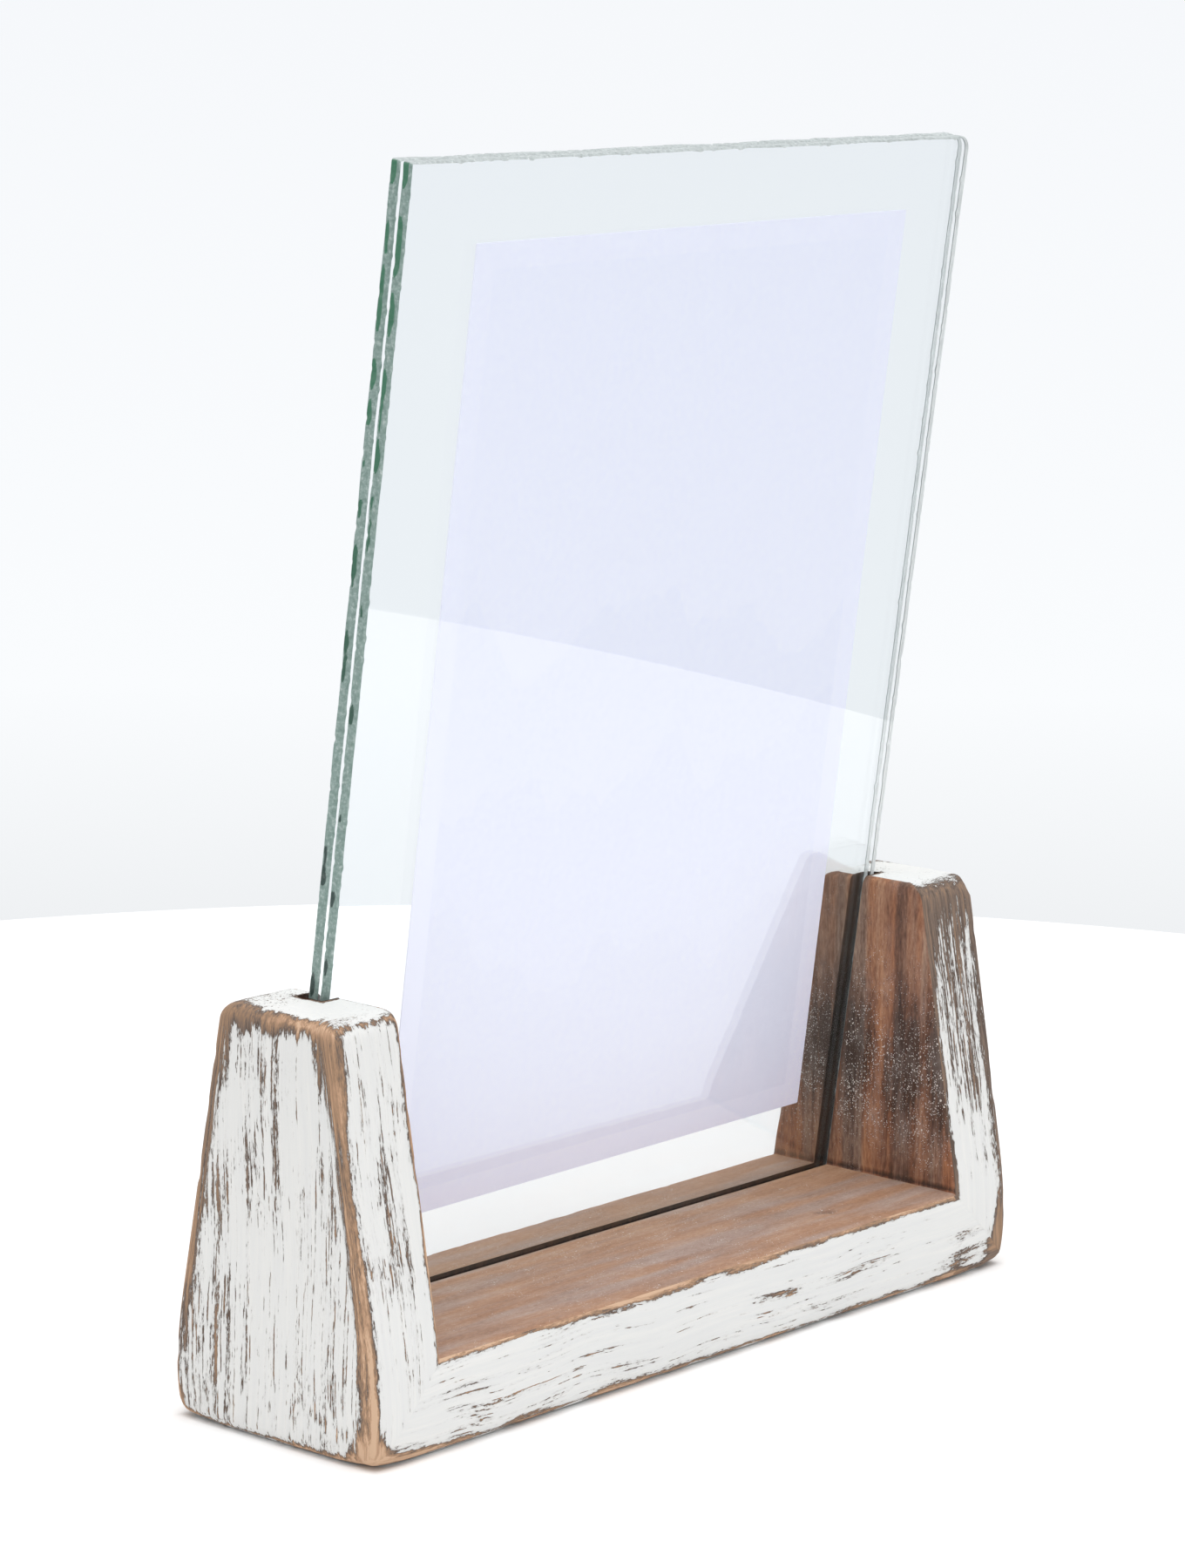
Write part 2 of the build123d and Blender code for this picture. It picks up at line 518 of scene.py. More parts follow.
def grain_across(points):
    """Depth at which the grain runs: the place itself, but on the side faces drawn out by the taper, so that
    the grain follows them up."""
    _, y, z = points.T
    on_side = ramp(depths(points)["side"], 3 * MM, 1 * MM)
    return y + on_side * np.sign(y) * (foot_half - half_depth(z))


def fresh_wood(points):
    """Where the rubbed wood is fresh and tan, not weathered to brown: most on the arrises of the right
    upright that face back, on the rail and at the low corners, less on the left upright, beside the slot and
    below the crown."""
    x, y, z = points.T
    facing_back = (x > 0) * ramp(y, -2 * MM, 6 * MM)
    low = ramp(z, 14 * MM, 2 * MM)
    on_rail = 0.4 * (np.abs(x) < inner_x)
    on_left = 0.5 * (x < -inner_x)
    at_slot = 0.8 * ramp(depths(points)["slot"], 4 * MM, 2 * MM) * (z > rail_height + 1 * MM)
    weathered = 0.15 * ramp(z, 30 * MM, 50 * MM) * ramp(z, 64 * MM, 58 * MM)
    rubbed = 0.35 + 0.5 * facing_back + 0.5 * low + on_rail - on_left - at_slot - weathered
    return np.clip(rubbed + 0.25 * waves(points, 12 * MM, 17), 0, 1)


def dust_cover(points):
    """Dust on the bare wood: thin all over, thick on the lower half of the left upright's inner face, thicker
    towards the middle of the rail, and none in the slot."""
    x, _, z = points.T
    on_left = ramp(-x, inner_x - 1 * MM, inner_x) * ramp(z, 54 * MM, 38 * MM) * ramp(z, 16 * MM, 24 * MM)
    on_rail = ramp(np.abs(x), inner_x, 20 * MM) * (z < rail_height + 1 * MM)
    cover = np.clip(0.2 + 0.7 * on_left + 0.35 * on_rail + 0.3 * waves(points, 5 * MM, 15), 0, 1)
    return cover * ramp(depths(points)["slot"], 0.05 * MM, 0.5 * MM)


def dents(points):
    """Two small dents in the top of the rail: bell curves that are 1 in their middles."""
    x, y, z = points.T
    spots = [((x - dent_x) ** 2 + (y - dent_y) ** 2) / dent_radius ** 2 for dent_x, dent_y in rail_dents]
    return np.exp(-np.min(spots, 0)) * (np.abs(z - rail_height) < 1 * MM)


def stain_and_corner_shade(points):
    """Darkening of the bare wood, from 0 to 1: a broad stain on the lower half of the uprights' inner faces,
    above the orange wood at their feet; a dark line in the corners where they meet the rail, partly dirt
    and partly painted shade; and darker in the dents."""
    z = points[:, 2]
    lower_half = ramp(z, 52 * MM, 36 * MM) * ramp(z, 20 * MM, 32 * MM)
    clouds = np.clip(0.8 + 0.5 * waves(points * (1, 1, 0.3), 6 * MM, 19), 0, 1)
    # The corner line above the rail is partly dirt and partly painted shade between the parts
    corner = ramp(z, rail_height + 1.2 * MM, rail_height + 0.2 * MM) * (z > rail_height + 0.1 * MM)
    return np.clip(lower_half * clouds + corner + dents(points), 0, 1)


def weather(mesh):
    """Moves the surface inwards: rubbed arrises with small chips, a slight waviness of the faces, the dents,
    and low corners drawn in and up along their diagonals.

    Points on a mitre plane move within it, so that the joint stays shut.
    """
    points = vectors(mesh.vertices)
    x, y, z = points.T
    chips = np.clip(waves(points, 7 * MM, 11) - 0.35, 0, 1)
    swell = 0.5 + 0.5 * np.clip(waves(points, 30 * MM, 12), -1, 1)
    inwards = swell_depth * swell + arris_wear(points) * (rub_depth + chip_depth * chips)
    inwards += dent_depth * dents(points)
    move = -vectors(mesh.vertex_normals, "vector") * inwards[:, None]
    from_corner = np.sqrt((outer_x - np.abs(x)) ** 2 + (foot_half - np.abs(y)) ** 2 + z ** 2)
    diagonal = np.stack([-np.sign(x), -np.sign(y), np.ones_like(z)], 1)
    move += corner_depth * ramp(from_corner, 11 * MM, 0)[:, None] ** 2 * diagonal
    drop = rail_height / (outer_x - inner_x)
    mitre_normal = np.stack([drop * np.sign(x), 0 * x, 1 + 0 * x], 1) / math.hypot(drop, 1)
    on_mitre = np.abs(z - rail_height + drop * (np.abs(x) - inner_x)) < mitre_tolerance
    across = (move * mitre_normal).sum(1) * on_mitre
    moved = points + move - mitre_normal * across[:, None]
    mesh.vertices.foreach_set("co", moved.ravel())
    mesh.update()


# What the materials of the wood read from its points, and the power that makes some of their patterns only
# partly drawn out along the grain
wood_values = {
    "wear": arris_wear,
    "age": paint_age,
    "dust_and_top_sheen": dust_cover,
    "fresh": fresh_wood,
    "stain_and_shade": stain_and_corner_shade,
    "grain_y": grain_across,
}
part_drawn = 0.4


def finish_wood(piece, kinds, materials):
    """Gives the faces their materials, keeps what those read, and wears the surface."""
    mesh = piece.data
    dress(mesh, materials, kinds)
    points = vectors(mesh.vertices)
    for name, values in wood_values.items():
        store(mesh, name, values(points))
    weather(mesh)
    mesh.shade_smooth()
    mesh.set_sharp_from_angle(angle=wood_crease)


def along_grain(add, place, grain):
    """Two places to draw patterns at: one draws them out along the grain, for streaks and splits, and one
    does so in part. The grain is how much longer a pattern is along each axis."""
    drawn = [1 / stretch for stretch in grain]
    partly = [scale ** part_drawn for scale in drawn]
    return [add("Mapping", {"Vector": place, "Scale": scales}) for scales in (drawn, partly)]


def paint_loss(add, long_grain, part_grain, flaking):
    """How loose the paint is: the greatest of hair cracks, wider splits, flakes and rubbed arrises.

    The first three come sooner where the paint is old and in weak patches. Flaking is how much of the paint
    comes off in flakes.
    """
    wear, age = (add("Attribute", out="Fac", attribute_name=kept) for kept in ("wear", "age"))
    cracks = add("TexNoise", {"Vector": long_grain, "Scale": 1 / (0.45 * MM), "Detail": 2, "Roughness": 0.6})
    splits = add("TexNoise", {"Vector": long_grain, "Scale": 1 / (1.7 * MM), "Detail": 4, "Roughness": 0.6})
    flakes = add("TexNoise", {"Vector": part_grain, "Scale": 1 / (3 * MM), "Detail": 8, "Roughness": 0.7})
    patches = add("TexNoise", {"Vector": part_grain, "Scale": 1 / (12 * MM), "Detail": 2, "Roughness": 0.5})
    weak = add("MapRange",
               {"Value": patches, "From Min": 0.35, "From Max": 0.65, "To Min": -0.34, "To Max": 0.34})
    weak = add("Math", {0: weak, 1: age}, operation="ADD")
    bundle = add("MapRange", {"Value": splits, "To Min": -0.18, "To Max": 0.18})
    crack_loss = add("Math", {0: cracks, 1: bundle}, operation="ADD")
    crack_loss = add("Math", {0: weak, 1: 0.19, 2: crack_loss}, operation="MULTIPLY_ADD")
    split_loss = add("Math", {0: weak, 1: 0.19, 2: splits}, operation="MULTIPLY_ADD")
    flake_loss = add("Math", {0: flakes, 1: flaking}, operation="MULTIPLY")
    flake_loss = add("Math", {0: weak, 1: 0.13, 2: flake_loss}, operation="MULTIPLY_ADD")
    rubbed = add("Math", {0: splits, 1: 0.6}, operation="MULTIPLY")
    rubbed = add("Math", {0: flakes, 1: 0.4, 2: rubbed}, operation="MULTIPLY_ADD")
    rubbed = add("Math", {0: wear, 1: 0.55, 2: rubbed}, operation="MULTIPLY_ADD")
    loss = add("Math", {0: crack_loss, 1: split_loss}, operation="MAXIMUM")
    loss = add("Math", {0: loss, 1: flake_loss}, operation="MAXIMUM")
    return add("Math", {0: loss, 1: rubbed}, operation="MAXIMUM")


def painted_wood(name, grain, flaking):
    """Old softwood under one thin coat of white paint, rubbed through along the arrises and split along the
    grain. It gives the eye chalky brushed white with ragged grey-brown cracks, and tan wood with dark rims at
    the edges. The dark in the narrow cracks and at the rims is partly dirt and partly painted shade under the
    paint's edges."""
    material, add = new_material(name)
    fresh, across = (add("Attribute", out="Fac", attribute_name=kept) for kept in ("fresh", "grain_y"))
    place = add("TexCoord", out="Object")
    part = add("SeparateXYZ", {"Vector": place}).node.outputs
    place = add("CombineXYZ", {"X": part["X"], "Y": across, "Z": part["Z"]})
    sway = add("TexNoise", {"Vector": place, "Scale": 1 / (25 * MM), "Detail": 1}, out="Color")
    sway = add("VectorMath", {0: sway, "Scale": 3 * MM}, operation="SCALE")
    place = add("VectorMath", {0: place, 1: sway}, operation="ADD")
    long_grain, part_grain = along_grain(add, place, grain)
    streaks = add("TexNoise", {"Vector": long_grain, "Scale": 1 / (0.8 * MM), "Detail": 5, "Roughness": 0.65})
    grit = add("TexNoise", {"Vector": part_grain, "Scale": 1 / (0.3 * MM), "Detail": 3, "Roughness": 0.7})

    # Paint is lost where it is looser than about 0.76, with ragged rims
    loss = paint_loss(add, long_grain, part_grain, flaking)
    ragged = add("MapRange",
                 {"Value": grit, "From Min": 0.25, "From Max": 0.75, "To Min": -0.1, "To Max": 0.1})
    loss = add("Math", {0: loss, 1: ragged}, operation="ADD")
    paint = add("MapRange",
                {"Value": loss, "From Min": 0.78, "From Max": 0.742}, interpolation_type="SMOOTHSTEP")

    # Bare wood runs from dark grey-brown at the rims and in the cracks to tan where it is rubbed. That dark
    # is partly dirt and partly painted shade under the paint's edges
    depth = add("MapRange", {"Value": loss, "From Min": 0.75, "From Max": 0.95})
    tone = add("MapRange",
               {"Value": streaks, "From Min": 0.25, "From Max": 0.75, "To Min": -0.4, "To Max": 0.4})
    rubbing = add("MapRange", {"Value": fresh, "To Min": 0.22, "To Max": 1.0})
    tone = add("Math", {0: depth, 1: rubbing, 2: tone}, operation="MULTIPLY_ADD")
    wood = add("ValToRGB", {"Fac": tone},
               stops=[(0.0, "615147"), (0.18, "7C6A5E"), (0.45, "A28267"), (0.8, "C69F81"), (1.0, "DDBA9B")])
    coat = add("ValToRGB", {"Fac": streaks}, stops=[(0.3, "EDEDEC"), (0.5, "F0F0EE"), (0.7, "F5F4F1")])
    thin = add("MapRange", {"Value": loss, "From Min": 0.67, "From Max": 0.75, "To Max": 0.4})
    coat = add("Mix", {0: thin, 6: coat, 7: linear("C9C5C1")}, out=2, data_type="RGBA")
    colour = add("Mix", {0: paint, 6: wood, 7: coat}, out=2, data_type="RGBA")
    rough = add("MapRange", {"Value": paint, "To Min": 0.8, "To Max": 0.55})
    relief = add("Math", {0: streaks, 1: 0.07, 2: paint}, operation="MULTIPLY_ADD")
    relief = add("Math", {0: grit, 1: 0.08, 2: relief}, operation="MULTIPLY_ADD")
    bump = add("Bump", {"Height": relief, "Strength": 0.8, "Distance": 0.2 * MM})
    shader = add("BsdfPrincipled", {"Base Color": colour, "Roughness": rough, "Normal": bump, "IOR": 1.5})
    add("OutputMaterial", {"Surface": shader})
    return material


def dusted(add, wood, place, part_grain):
    """Colour of wood under dust: smears of it, and specks of two sizes in the cells of a shaken grid."""
    dust_and_sheen = add("Attribute", out="Fac", attribute_name="dust_and_top_sheen")
    smear = add("TexNoise", {"Vector": part_grain, "Scale": 1 / (2.5 * MM), "Detail": 8, "Roughness": 0.75})
    smear = add("MapRange", {"Value": smear, "From Min": 0.45, "From Max": 0.85, "To Max": 0.5})
    smear = add("Math", {0: smear, 1: dust_and_sheen}, operation="MULTIPLY")
    colour = add("Mix", {0: smear, 6: wood, 7: linear("C6B8AE")}, out=2, data_type="RGBA")
    wobble = add("TexNoise", {"Vector": place, "Scale": 1 / (0.6 * MM), "Detail": 2}, out="Color")
    wobble = add("VectorMath", {0: wobble, "Scale": 0.4 * MM}, operation="SCALE")
    shaken = add("VectorMath", {0: place, 1: wobble}, operation="ADD")
    for size, rarest in ((0.3 * MM, 0.35), (0.5 * MM, 0.72)):
        cell = add("TexVoronoi", {"Vector": shaken, "Scale": 1 / size}, out="Distance")
        chance = add("SeparateColor", {"Color": cell.node.outputs["Color"]})
        limit = add("MapRange", {"Value": chance, "From Min": rarest, "From Max": 1.0, "To Max": 0.42})
        limit = add("Math", {0: limit, 1: dust_and_sheen}, operation="MULTIPLY")
        speck = add("Math", {0: cell, 1: limit}, operation="LESS_THAN")
        colour = add("Mix", {0: speck, 6: colour, 7: linear("DCD2C9")}, out=2, data_type="RGBA")
    return colour


def bare_wood(name, grain, greys, oranges):
    """Bare brown softwood, darkened by hands and dusty. It gives the eye long streaks of grey-brown and
    orange wood with dark stains, a dark line of dirt and painted shade in the corners, and pale specks and
    smears of dust. The stops of both colours run from dark to light."""
    material, add = new_material(name)
    stain_and_shade = add("Attribute", out="Fac", attribute_name="stain_and_shade")
    place = add("TexCoord", out="Object")
    long_grain, part_grain = along_grain(add, place, grain)
    streaks = add("TexNoise", {"Vector": long_grain, "Scale": 1 / (2.2 * MM), "Detail": 6, "Roughness": 0.65})
    fibres = add("TexNoise", {"Vector": part_grain, "Scale": 1 / (0.5 * MM), "Detail": 5, "Roughness": 0.7})
    clouds = add("TexNoise", {"Vector": part_grain, "Scale": 1 / (7 * MM), "Detail": 6, "Roughness": 0.65})
    # The stain, with the painted shade in the corners, darkens the wood most in its darker streaks
    soaked_and_shaded = add("MapRange",
                 {"Value": streaks, "From Min": 0.35, "From Max": 0.65, "To Min": 0.75, "To Max": 0.3})
    soaked_and_shaded = add("Math", {0: stain_and_shade, 1: soaked_and_shaded}, operation="MULTIPLY")
    tone = add("Math", {0: fibres, 1: 1.1}, operation="MULTIPLY")
    tone = add("Math", {0: streaks, 1: tone}, operation="ADD")
    tone = add("Math", {0: clouds, 1: 0.9, 2: tone}, operation="MULTIPLY_ADD")
    tone = add("Math", {0: tone, 1: soaked_and_shaded}, operation="SUBTRACT")
    tone = add("MapRange", {"Value": tone, "From Min": 1.05, "From Max": 1.95})
    grey = add("ValToRGB", {"Fac": tone}, stops=greys)
    orange = add("ValToRGB", {"Fac": tone}, stops=oranges)
    heart = add("TexNoise", {"Vector": long_grain, "Scale": 1 / (4 * MM), "Detail": 2})
    heart = add("MapRange", {"Value": heart, "From Min": 0.38, "From Max": 0.58})
    wood = add("Mix", {0: heart, 6: grey, 7: orange}, out=2, data_type="RGBA")
    colour = dusted(add, wood, place, part_grain)
    bump = add("Bump", {"Height": fibres, "Strength": 0.4, "Distance": 0.2 * MM})
    rough = add("MapRange",
                {"Value": clouds, "From Min": 0.3, "From Max": 0.7, "To Min": 0.5, "To Max": 0.75})
    shader = add("BsdfPrincipled", {"Base Color": colour, "Roughness": rough, "Normal": bump, "IOR": 1.5})
    add("OutputMaterial", {"Surface": shader})
    return material


def float_glass():
    """Clear float glass. It gives the eye a faint cool tint and mirror-smooth reflections, and lets the light
    through to the paper."""
    material, add = new_material("float_glass")
    glass = add("BsdfPrincipled",
                {"Base Color": linear("FBFDFE"), "Roughness": 0.0, "IOR": 1.52, "Transmission Weight": 1.0})
    clear = add("BsdfTransparent", {"Color": linear("FAFDFD")})
    path = add("LightPath").node.outputs
    lighting = add("Math", {0: path["Is Shadow Ray"], 1: path["Is Diffuse Ray"]}, operation="MAXIMUM")
    shader = add("MixShader", {0: lighting, 1: glass, 2: clear})
    add("OutputMaterial", {"Surface": shader})
    return material


def cut_glass_edge():
    """Glass edge as the cutter left it. It gives the eye a frosted grey-green strip with smooth green windows
    where the score ran deep, a paler strip along the top that is painted light from above, and, seen from
    inside, a painted white glow with thin grey lines along its arrises."""
    material, add = new_material("cut_glass_edge")
    place = add("TexCoord", out="Object")
    score, dust_and_sheen, arris = (
        add("Attribute", out="Fac", attribute_name=kept) for kept in ("score", "dust_and_top_sheen", "arris"))
    height = add("SeparateXYZ", {"Vector": place}, out="Z")
    inside = add("NewGeometry", out="Backfacing")
    grit = add("TexNoise", {"Vector": place, "Scale": 1 / (0.7 * MM), "Detail": 5, "Roughness": 0.75})
    frost = add("ValToRGB", {"Fac": grit},
                stops=[(0.3, "76928A"), (0.5, "98B2AB"), (0.62, "BDCFCA"), (0.72, "EAF1EF")])
    green = add("MapRange", {"Value": height, "From Min": 90 * MM, "From Max": 150 * MM})
    green = add("ValToRGB", {"Fac": green}, stops=[(0.0, "38514B"), (1.0, "4C8A6C")])
    colour = add("Mix", {0: score, 6: frost, 7: green}, out=2, data_type="RGBA")
    # The top edge is painted paler, as light falling on it from above
    pale_top_sheen = add("ValToRGB", {"Fac": grit}, stops=[(0.3, "A4ACAC"), (0.6, "D2DADA"), (0.72, "FAFCFC")])
    colour = add("Mix", {0: dust_and_sheen, 6: colour, 7: pale_top_sheen}, out=2, data_type="RGBA")
    # Seen from inside, the edge is painted white, standing in for light through the frosted glass, grey at
    # its arrises
    line = add("ValToRGB", {"Fac": arris}, stops=[(0.55, "FFFFFF"), (0.95, "9AA1A3")])
    colour = add("Mix", {0: inside, 6: colour, 7: line}, out=2, data_type="RGBA")
    rough = add("MapRange", {"Value": score, "To Min": 0.5, "To Max": 0.12})
    bump = add("Bump", {"Height": grit, "Strength": 0.6, "Distance": 0.2 * MM})
    shader = add("BsdfPrincipled",
                 {"Base Color": colour, "Roughness": rough, "Normal": bump, "IOR": 1.52,
                  "Transmission Weight": 0.2})
    add("OutputMaterial", {"Surface": shader})
    return material


def print_axes():
    """Middle of the print, its axes through the paper, across it and up it, and half its size along each."""
    corners = vectors(frame["nodes"]["photo_print"].data.vertices)
    middle = (corners.min(0) + corners.max(0)) / 2
    turn = Matrix.Rotation(math.radians(print_turn), 3, pane_normal)
    axes = np.array([pane_normal, turn @ Vector((1, 0, 0)), turn @ lift])
    return middle, axes, np.abs((corners - middle) @ axes.T).max(0)


def misty_hills(add, across, up, top):
    """Colour of the picture: ridges one before the other under a pale sky, each fading into mist down to its
    foot. A ridge's crest is a line of smooth noise across the sheet, from a stretch of its own."""
    sky = add("MapRange", {"Value": up, "From Min": -20 * MM, "From Max": top})
    picture = add("ValToRGB", {"Fac": sky}, stops=[(0.0, "EFEBE4"), (1.0, "C9D2DA")])
    for number, (crest, hex_code) in enumerate(ridges):
        along = add("Math", {0: across, 1: 1.0 + number}, operation="ADD")
        line = add("TexNoise", {"W": along, "Scale": 1 / hump_length, "Detail": 4, "Roughness": 0.45},
                   noise_dimensions="1D")
        line = add("MapRange", {"Value": line, "From Min": 0.25, "From Max": 0.75,
                                "To Min": crest - hump_height, "To Max": crest + hump_height})
        below = add("Math", {0: line, 1: up}, operation="SUBTRACT")
        solid = add("MapRange", {"Value": below, "From Min": -0.2 * MM, "From Max": 0.2 * MM})
        mist = add("MapRange", {"Value": below, "From Max": mist_depth, "To Min": 1.0, "To Max": 0.45})
        cover = add("Math", {0: solid, 1: mist}, operation="MULTIPLY")
        picture = add("Mix", {0: cover, 6: picture, 7: linear(hex_code)}, out=2, data_type="RGBA")
    return picture


def photo_paper(name, ink, glow):
    """Resin-coated photo paper with a picture of misty hills on its front. It gives the eye a cool white,
    lifted a little by a painted glow in its brightener's bluish tint, a faint mottle of fibres, and a picture
    within a white border.

    Ink is how much of the picture shows, all of it on the front and a trace through the back. Glow is the
    strength of the painted glow.
    """
    middle, axes, half_size = print_axes()
    material, add = new_material(name)
    place = add("TexCoord", out="Object")
    fibres = add("TexNoise", {"Vector": place, "Scale": 1 / (1.2 * MM), "Detail": 6, "Roughness": 0.7})
    white = add("ValToRGB", {"Fac": fibres}, stops=[(0.3, "F1F0F7"), (0.7, "F8F7FD")])
    centred = add("VectorMath", {0: place, 1: middle}, operation="SUBTRACT")
    across = add("VectorMath", {0: centred, 1: axes[1]}, out="Value", operation="DOT_PRODUCT")
    up = add("VectorMath", {0: centred, 1: axes[2]}, out="Value", operation="DOT_PRODUCT")
    picture = misty_hills(add, across, up, half_size[2])
    inside = 1
    for place_along, half in ((across, half_size[1]), (up, half_size[2])):
        off_middle = add("Math", {0: place_along}, operation="ABSOLUTE")
        within = add("Math", {0: off_middle, 1: half - print_border}, operation="LESS_THAN")
        inside = add("Math", {0: within, 1: inside}, operation="MULTIPLY")
    inked = add("Math", {0: inside, 1: ink}, operation="MULTIPLY")
    colour = add("Mix", {0: inked, 6: white, 7: picture}, out=2, data_type="RGBA")
    bump = add("Bump", {"Height": fibres, "Strength": 0.1, "Distance": 0.05 * MM})
    # The emission is a painted glow in the brightener's bluish tint, which lifts the paper
    shader = add("BsdfPrincipled",
                 {"Base Color": colour, "Roughness": 0.5, "Normal": bump, "IOR": 1.5,
                  "Emission Color": linear("D6CEFF"), "Emission Strength": glow})
    add("OutputMaterial", {"Surface": shader})
    return material


def beech():
    """Turned beech. It gives the eye an even pale tan with fine short flecks along the grain."""
    material, add = new_material("beech")
    place = add("TexCoord", out="Object")
    flecks = add("TexNoise", {"Vector": place, "Scale": 1 / (0.8 * MM), "Detail": 4})
    colour = add("ValToRGB", {"Fac": flecks}, stops=[(0.35, "B98D63"), (0.65, "D2AB80")])
    bump = add("Bump", {"Height": flecks, "Strength": 0.2, "Distance": 0.1 * MM})
    shader = add("BsdfPrincipled", {"Base Color": colour, "Roughness": 0.65, "Normal": bump, "IOR": 1.5})
    add("OutputMaterial", {"Surface": shader})
    return material


def make_upright(name, side, materials):
    """An upright board from its mitred foot to its rounded crown, with the end of the slot in it."""
    bare = board_counts[0] + board_counts[1] // 2
    points, quads, triangles, kinds = slotted_block(
        board_quarter, board_columns, board_slot_columns, bare, cap_rows=(1, top_rows))
    piece = new_piece(name, points * (side, 1, 1), quads, triangles)
    finish_wood(piece, kinds, materials)
    return piece


def make_rail(name, materials):
    """The bottom rail between its mitres, with the slot along its top."""
    bare = rail_counts[0] + rail_counts[1] // 2
    points, quads, triangles, kinds = slotted_block(
        rail_quarter, rail_columns, rail_slot_columns, bare, cap_rows=(1, 1))
    piece = new_piece(name, points, quads, triangles)
    finish_wood(piece, kinds, materials)
    return piece


def rounded_rectangle(half_width, low, high, radii, step):
    """Loop round a rectangle with round corners, and its normals: four arcs joined by straight runs.

    The corners and their radii go round from the low right one.
    """
    corners = np.array([(half_width, low), (half_width, high), (-half_width, high), (-half_width, low)])
    centres = corners + np.array([(-1, 1), (-1, -1), (1, -1), (1, 1)]) * np.array(radii)[:, None]
    bend = np.pi / 2 * np.linspace(0, 1, corner_count)
    points, normals = [], []
    for corner in range(4):
        angle = np.pi / 2 * (corner - 1) + bend
        normal = np.stack([np.cos(angle), np.sin(angle)], 1)
        arc = centres[corner] + radii[corner] * normal
        following = (corner + 1) % 4
        start = centres[following] + radii[following] * normal[-1]
        count = int(np.linalg.norm(start - arc[-1]) / step)
        run = np.linspace(0, 1, count + 1)[1:-1, None]
        points += [arc, arc[-1] + (start - arc[-1]) * run]
        normals += [normal, np.repeat(normal[-1:], count - 1, 0)]
    return np.concatenate(points), np.concatenate(normals)


def rim_plate(loop, normal, place, drawn_in):
    """Thin plate: a loop carried across its thickness and drawn in along its normals, closed by two flat
    faces.

    Points are (across, out, up). The faces are the rim's quads, then the first flat face and the last.
    """
    drawn_in = np.reshape(drawn_in, (len(place), -1))
    rings = loop - drawn_in[:, :, None] * normal
    across = np.broadcast_to(place[:, None, None], rings.shape[:2] + (1,))
    rings = np.concatenate([across, rings], 2)
    index = np.arange(rings.shape[0] * rings.shape[1]).reshape(rings.shape[:2])
    return rings.reshape(-1, 3), ring_quads(index), index[[0, -1]]


def span(node_name, direction):
    """Least and greatest reach of a node along a direction."""
    reach = vectors(frame["nodes"][node_name].data.vertices) @ np.array(direction)
    return reach.min(), reach.max()


def score_windows(spots, across, rise, seed):
    """Smooth windows that the score left in the rim: lenses near its front, each open where it is closer to a
    line along the rim than a smooth noise of the place allows. They are long high up and short lower down."""
    long_windows = waves(spots * (0, 1, 1), 6.5 * MM, seed + 2) + 0.35
    short_windows = waves(spots * (0, 1, 1), 5 * MM, seed + 4) - 0.55
    open_width = np.clip(short_windows + (long_windows - short_windows) * rise, 0, 1)
    open_width = np.clip(open_width + 0.15 * waves(spots, 2 * MM, seed + 3) * (open_width > 0), 0, 1)
    return ramp(window_share * np.sqrt(open_width) - np.abs(across - score_share), 0, window_rim_share)


def make_pane(name, node_name, seed, materials):
    """A pane with cut edges: a rectangle carried across the glass, its rim nibbled inwards by the cutter."""
    left, right = span(node_name, (1, 0, 0))
    low, high = span(node_name, lift)
    front, back = span(node_name, pane_normal)
    thickness = back - front
    loop, normal = rounded_rectangle((right - left) / 2, low, high, pane_corners, edge_step)
    loop = loop + ((left + right) / 2, 0)
    chamfer = np.clip(arris_share - np.minimum(rim_shares, 1 - rim_shares), 0, 1) * thickness
    place = front + thickness * rim_shares
    rows = np.repeat(place[:, None], len(loop), 1)
    spots = np.stack([rows, *(np.broadcast_to(part, rows.shape) for part in loop.T)], 2).reshape(-1, 3)
    nibbles = np.clip(waves(spots, 1.8 * MM, seed + 1) - 0.3, 0, 1)
    bite = bite_depth * (1 + np.clip(waves(spots, 9 * MM, seed), -1, 1)) + nibble_depth * nibbles
    beside = np.minimum(loop[:, 0] - left, right - loop[:, 0])
    endwise = np.minimum(loop[:, 1] - low, high - loop[:, 1])
    off_corner = ramp(np.hypot(beside, endwise), 0.4 * MM, 2 * MM)
    drawn_in = chamfer[:, None] + bite.reshape(rows.shape) * off_corner
    points, quads, flats = rim_plate(loop, normal, place, drawn_in)
    piece = new_piece(name, points @ np.array([pane_normal, (1, 0, 0), lift]), quads, flats)
    dress(piece.data, materials, np.repeat([1, 0], [len(quads), 2]))
    across = np.repeat(rim_shares, len(loop))
    rise = ramp(spots[:, 2], (low + high) / 2, high - 40 * MM)
    top = ramp(np.tile(normal[:, 1], len(rim_shares)), 0.5, 0.9)
    store(piece.data, "score", score_windows(spots, across, rise, seed) * (1 - top))
    # The top edge, which the edge material paints paler as light from above
    store(piece.data, "dust_and_top_sheen", top)
    store(piece.data, "arris", ramp(np.abs(across - 0.5), 0.3, 0.45))
    piece.data.set_sharp_from_angle(angle=pane_crease)
    piece.data.polygons.foreach_set("use_smooth", np.repeat([True, False], [len(quads), 2]))
    return piece


